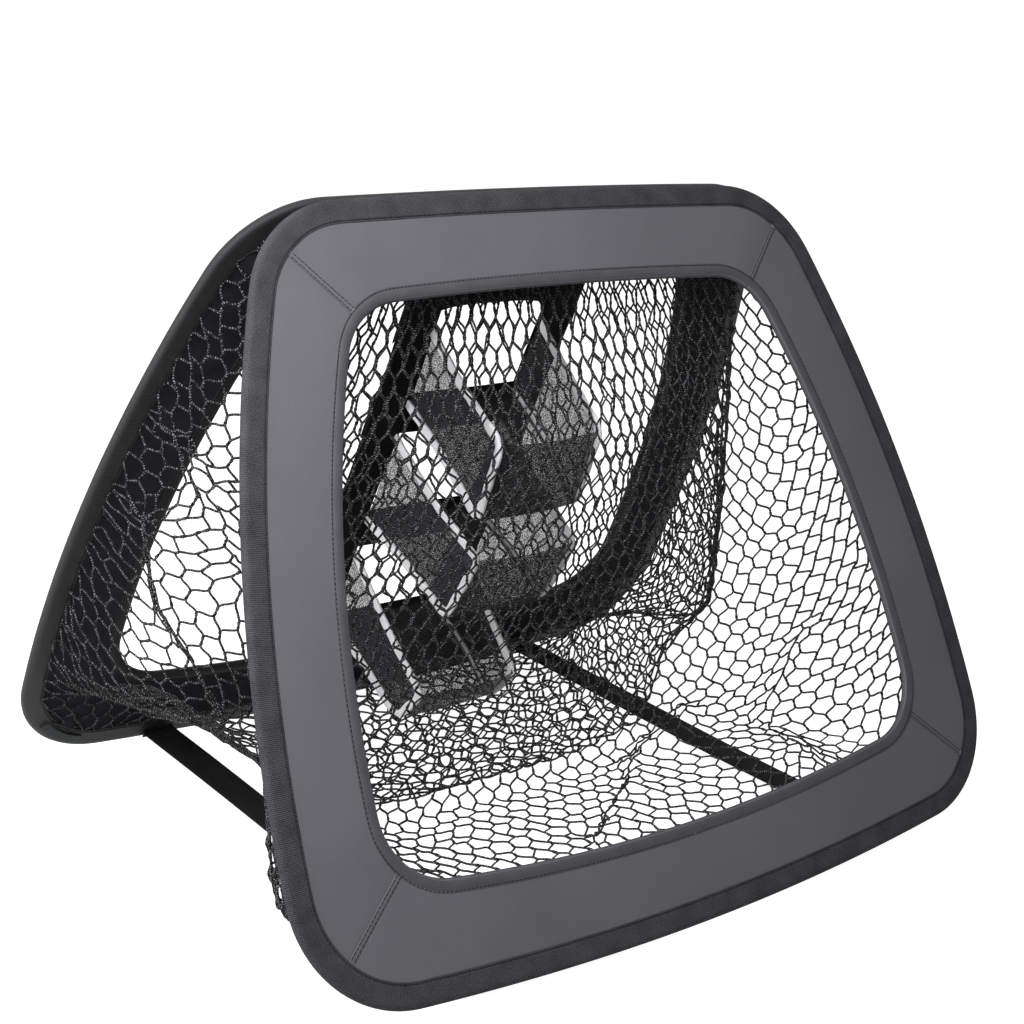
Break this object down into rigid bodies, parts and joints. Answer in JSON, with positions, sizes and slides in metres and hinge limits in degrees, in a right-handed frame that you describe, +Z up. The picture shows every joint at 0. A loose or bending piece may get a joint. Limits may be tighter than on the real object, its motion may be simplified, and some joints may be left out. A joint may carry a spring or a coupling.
{
  "type": "golf chipping net",
  "caption": "Pop-up golf chipping net: cloth-covered hoop panels hinged along the top, one an open window, the other a ladder of target mouths with mesh pockets, each backed by a net bag.",
  "frame": {"origin": "on the floor under the middle of the hinge, at the bottom centre of the bounding box", "axes": "+X along the hinge to the right seen from the large window, +Y from the window panel to the target panel, +Z up"},
  "size_m": [0.6044, 0.454, 0.4531],
  "materials": {
    "spring_steel": "blued flat spring steel",
    "ribbed_webbing": "dark grey ribbed polyester tape",
    "leather_cloth": "grey grained leather-look cloth",
    "black_cloth": "plain black woven cloth",
    "trim_tape": "smooth dark grey folded tape",
    "knotted_net": "black knotted twine net",
    "fine_mesh": "fine dark see-through mesh",
    "light_piping": "light grey folded tape",
    "target_cloth": "black woven cloth strips",
    "strap_webbing": "black flat webbing",
    "peg_tape": "very dark folded tape"
  },
  "bodies": {
    "root": {"front_spring_wire": "spring_steel", "front_wire_sleeve": "spring_steel", "front_binding": "ribbed_webbing", "front_band_top": "leather_cloth", "front_band_bottom": "leather_cloth", "front_band_left": "leather_cloth", "front_band_right": "leather_cloth", "front_lining": "black_cloth", "front_inner_trim": "trim_tape", "front_net_bag": "knotted_net", "front_strap_tabs": "strap_webbing", "front_peg_tabs": "peg_tape", "hinge_roll": "black_cloth", "strap_left": "strap_webbing", "strap_right": "strap_webbing"},
    "target_panel": {"rear_spring_wire": "spring_steel", "rear_wire_sleeve": "spring_steel", "rear_binding": "ribbed_webbing", "rear_band_top": "leather_cloth", "rear_band_bottom": "leather_cloth", "rear_band_left": "leather_cloth", "rear_band_right": "leather_cloth", "rear_lining": "black_cloth", "rear_inner_trim": "trim_tape", "target_leg_left": "target_cloth", "target_leg_right": "target_cloth", "target_bar_top": "target_cloth", "target_bar_upper": "target_cloth", "target_bar_lower": "target_cloth", "target_bar_bottom": "target_cloth", "pocket_upper": "fine_mesh", "pocket_middle": "fine_mesh", "pocket_lower": "fine_mesh", "pocket_piping_upper": "light_piping", "pocket_piping_middle": "light_piping", "pocket_piping_lower": "light_piping", "rear_net_bag": "knotted_net", "rear_strap_tabs": "strap_webbing", "rear_peg_tabs": "peg_tape"}
  },
  "joints": [
    {"name": "panel_fold", "type": "hinge", "parent": "root", "child": "target_panel", "pos_m": [0, 0, 0.45054], "axis": [-1, 0, 0], "range_deg": [0, 44], "deforming": ["front_net_bag", "rear_net_bag", "pocket_upper", "pocket_middle", "pocket_lower", "pocket_piping_upper", "pocket_piping_middle", "pocket_piping_lower", "strap_left", "strap_right"]}
  ]
}
